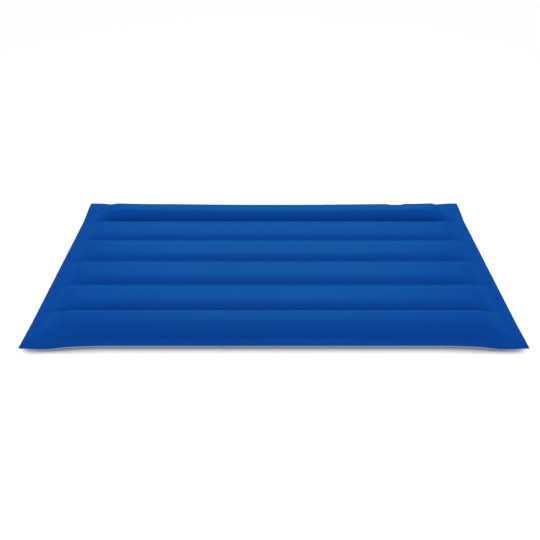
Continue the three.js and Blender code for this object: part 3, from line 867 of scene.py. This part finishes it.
def cap_tether():
    low, high = TETHER
    collar = lathe(ring(TETHER_BORE, TETHER_RADIUS, low, high, THIN_EDGE))
    start, end = CAP_NECK_RADIUS + STRAP_ROOT, HINGE_DOWN - EYE_RADIUS + STRAP_INTO_EYE
    strap = bevel(box(STRAP_WIDTH, end - start, high - low, 0, (start + end) / 2,
                      (low + high) / 2), THIN_EDGE)
    eye = at_hinge(ring(0, EYE_RADIUS, -EYE_HALF_WIDTH, EYE_HALF_WIDTH, SLIGHT_EDGE),
                   EYE_SEGMENTS)
    bore_half = EYE_HALF_WIDTH + CUT_PAST
    bore = at_hinge(ring(0, EYE_BORE, -bore_half, bore_half), EYE_SEGMENTS)
    return boolean(boolean(collar, "UNION", strap, eye), "DIFFERENCE", bore)


# ---- Assembly ----
stand_in(top_sheet(), "top_skin", "top_sheet", "mat", "blue_sheet")
stand_in(bottom_sheet(), "bottom_skin", "bottom_sheet", "mat", "pale_sheet")
for number, row in enumerate(WEB_ROWS, 1):
    stand_in(shade(web(row)), f"web_strip_{number}", f"web_{number}", "mat", "web_fabric")

VALVE_PIECES = {              # piece: builder, CAD node, body, material
    "patch_ring": (valve_patch, "valve_patch", "mat", "blue_sheet"),
    "body_moulding": (valve_body, "valve_body", "mat", "valve_plastic"),
    "gasket_ring": (valve_gasket, "valve_gasket", "mat", "rubber"),
    "nut_moulding": (valve_nut, "valve_nut", "mat", "valve_plastic"),
    "spring_wire": (valve_spring, "valve_spring", "mat", "spring_steel"),
    "stem_moulding": (valve_stem, "valve_stem", "plunger", "plunger_plastic"),
    "seal_disc": (valve_seal, "valve_seal", "seal_carrier", "rubber"),
    "retainer_disc": (seal_retainer, "seal_retainer", "seal_carrier", "plunger_plastic"),
    "cap_moulding": (valve_cap, "valve_cap", "cap", "valve_plastic"),
    "o_ring": (cap_o_ring, "cap_o_ring", "cap", "rubber"),
    "tether_moulding": (cap_tether, "cap_tether", "tether", "valve_plastic"),
}
for name, (build, node, body, slot) in VALVE_PIECES.items():
    piece = build()
    piece.data.transform(VALVE)
    stand_in(shade(piece), name, node, body, slot)

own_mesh(bpy.data.objects["spring_wire"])


# ---- Studio ----
AMBIENT = 1.0                 # even white light all round
REFLECTED = 0.1               # what shiny surfaces see of it
SOFTBOXES = {                 # place, size, watts, lights surfaces, shows in shiny ones
    "rear_wide": ((0, 2.2, 1.6), (3.2, 1.6), 8.5, True, True),
    "rear_fill": ((0, 2.2, 1.6), (3.2, 1.6), 9.2, True, False),
    "rear_top": ((0, 1.3, 2.3), (3.4, 1.1), 10.0, False, True),
    "top": ((0, 0.3, 2.4), (1.6, 1.0), 1.2, False, True),
    "front": ((0, -2.6, 2.2), (1.6, 1.0), 10.4, True, False),
    "left": ((-2.6, 0.3, 1.2), (1.0, 1.0), 16.3, True, False),
    "right": ((2.6, 0.3, 1.2), (1.0, 1.0), 16.3, True, False),
}
LIGHT_AIM = (0, 0, 0.05)
FLOOR_REACH = 40
FLOOR_DROP = 0.4 * MM
FLOOR_ROUGHNESS = 0.9
FLOOR_SPECULAR = 0.1
PAINTED_SHADOW_REACH = 0.045         # painted shadow: the floor's colour darkens this close to the mat
PAINTED_SHADOW_OPENNESS = (0.15, 0.7)  # openness at which the painted shadow is darkest and at which the floor is white
# grey that the painted shadow darkens the floor's colour towards
PAINTED_SHADOW_TONE = (0.2, 0.2, 0.2, 1)
SENSOR_WIDTH = 36
FOCAL_LENGTH = 31.6467
LENS_SHIFT = -0.007222
CAMERA_PLACE = (0, -1.687, 1.485)
CAMERA_PITCH = 41.53          # degrees down from level


def light_all_round():
    world = bpy.data.worlds.new("studio")
    world.use_nodes = True
    tree = world.node_tree
    ambient = tree.nodes["Background"]
    ambient.inputs["Color"].default_value = WHITE
    ambient.inputs["Strength"].default_value = AMBIENT
    reflected = add_node(tree, "ShaderNodeBackground", Color=WHITE, Strength=REFLECTED)
    path = add_node(tree, "ShaderNodeLightPath")
    mix = add_node(tree, "ShaderNodeMixShader")
    tree.links.new(path.outputs["Is Glossy Ray"], mix.inputs["Fac"])
    tree.links.new(ambient.outputs["Background"], mix.inputs[1])
    tree.links.new(reflected.outputs["Background"], mix.inputs[2])
    tree.links.new(mix.outputs["Shader"], tree.nodes["World Output"].inputs["Surface"])
    bpy.context.scene.world = world


def white_floor():
    """White floor with a painted shadow in its colour right beside the mat; it stays out of the
    mat's sheen.
    """
    reach = FLOOR_REACH
    floor = mesh_object("floor", [(-reach, -reach, 0), (reach, -reach, 0), (reach, reach, 0),
                                  (-reach, reach, 0)], [(0, 1, 2, 3)])
    floor.location.z = -FLOOR_DROP
    floor.visible_glossy = False
    material, tree, bsdf = new_material("floor")
    # painted shadow: ambient occlusion darkens the floor's base colour beside the mat
    painted_shadow_ao = add_node(tree, "ShaderNodeAmbientOcclusion", Distance=PAINTED_SHADOW_REACH, samples=8)
    ramp = add_node(tree, "ShaderNodeValToRGB")
    near, away = ramp.color_ramp.elements
    near.position, away.position = PAINTED_SHADOW_OPENNESS
    near.color, away.color = PAINTED_SHADOW_TONE, WHITE
    tree.links.new(painted_shadow_ao.outputs["AO"], ramp.inputs["Fac"])
    tree.links.new(ramp.outputs["Color"], bsdf.inputs["Base Color"])
    bsdf.inputs["Roughness"].default_value = FLOOR_ROUGHNESS
    bsdf.inputs["Specular IOR Level"].default_value = FLOOR_SPECULAR
    floor.data.materials.append(material)


def softboxes():
    for name, (location, size, watts, lights, shows) in SOFTBOXES.items():
        light = bpy.data.lights.new(name, "AREA")
        light.shape = "RECTANGLE"
        light.size, light.size_y = size
        light.energy = watts
        lamp = bpy.data.objects.new(name, light)
        lamp.location = location
        aim = Vector(LIGHT_AIM) - lamp.location
        lamp.rotation_euler = aim.to_track_quat("-Z", "Y").to_euler()
        lamp.visible_camera = False
        lamp.visible_diffuse = lights
        lamp.visible_glossy = shows
        bpy.context.scene.collection.objects.link(lamp)


def camera():
    data = bpy.data.cameras.new("camera")
    data.sensor_width = SENSOR_WIDTH
    data.lens = FOCAL_LENGTH
    data.shift_x = LENS_SHIFT
    viewer = bpy.data.objects.new("camera", data)
    viewer.location = CAMERA_PLACE
    viewer.rotation_euler = (math.radians(90 - CAMERA_PITCH), 0, 0)
    bpy.context.scene.collection.objects.link(viewer)
    bpy.context.scene.camera = viewer


bpy.context.scene.view_settings.view_transform = "Standard"
light_all_round()
white_floor()
softboxes()
camera()
